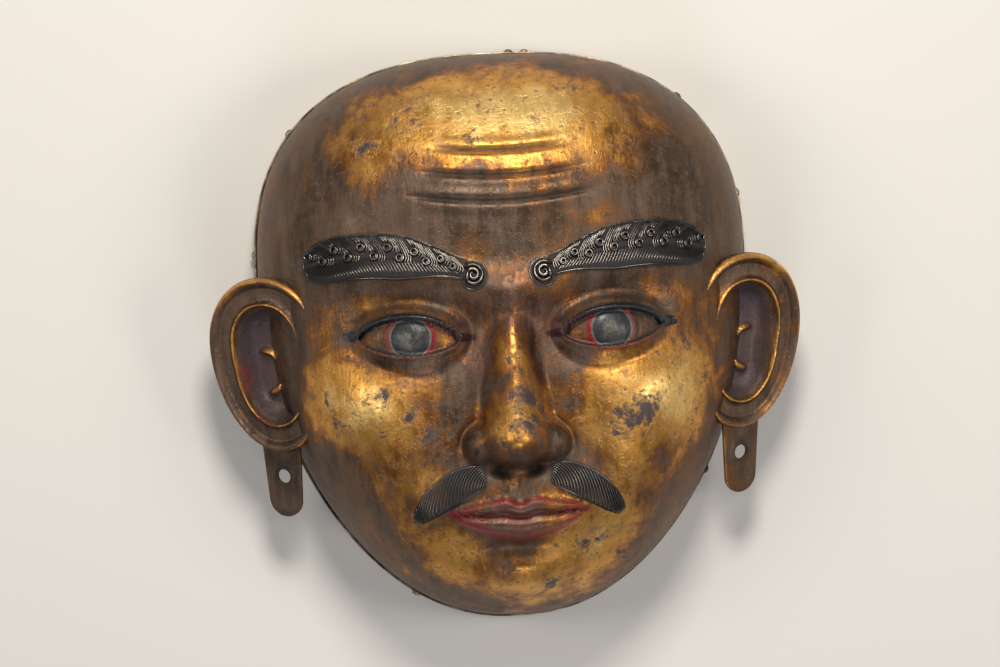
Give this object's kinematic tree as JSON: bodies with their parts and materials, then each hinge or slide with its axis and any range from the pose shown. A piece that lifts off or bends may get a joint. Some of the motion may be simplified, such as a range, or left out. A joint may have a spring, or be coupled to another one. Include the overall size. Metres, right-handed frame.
{
  "type": "bronze wall mask",
  "caption": "Hollow gilt-bronze mask of a bald head, with curled brows, moustache tufts, painted eyes and long pierced ears, closed behind by a thin riveted edge band.",
  "frame": {"origin": "middle of the outline, on the plane of the back edge that the mask lies on", "axes": "+Z out of the face, +Y towards the crown, +X towards the mask's own left ear"},
  "size_m": [0.3968, 0.387, 0.1592],
  "materials": {
    "mask_shell": "worn gilding over dark bronze, with black, red and grey paint",
    "left_ear": "dark patina, gilded on the raised edges",
    "right_ear": "dark patina, gilded on the raised edges",
    "edge_band": "dull worn metal",
    "rivets": "dull worn metal"
  },
  "bodies": {
    "root": {"mask_shell": "mask_shell", "left_ear": "left_ear", "right_ear": "right_ear", "edge_band": "edge_band", "rivet_1": "rivets", "rivet_2": "rivets", "rivet_3": "rivets", "rivet_4": "rivets", "rivet_5": "rivets", "rivet_6": "rivets", "rivet_7": "rivets", "rivet_8": "rivets"}
  },
  "joints": []
}
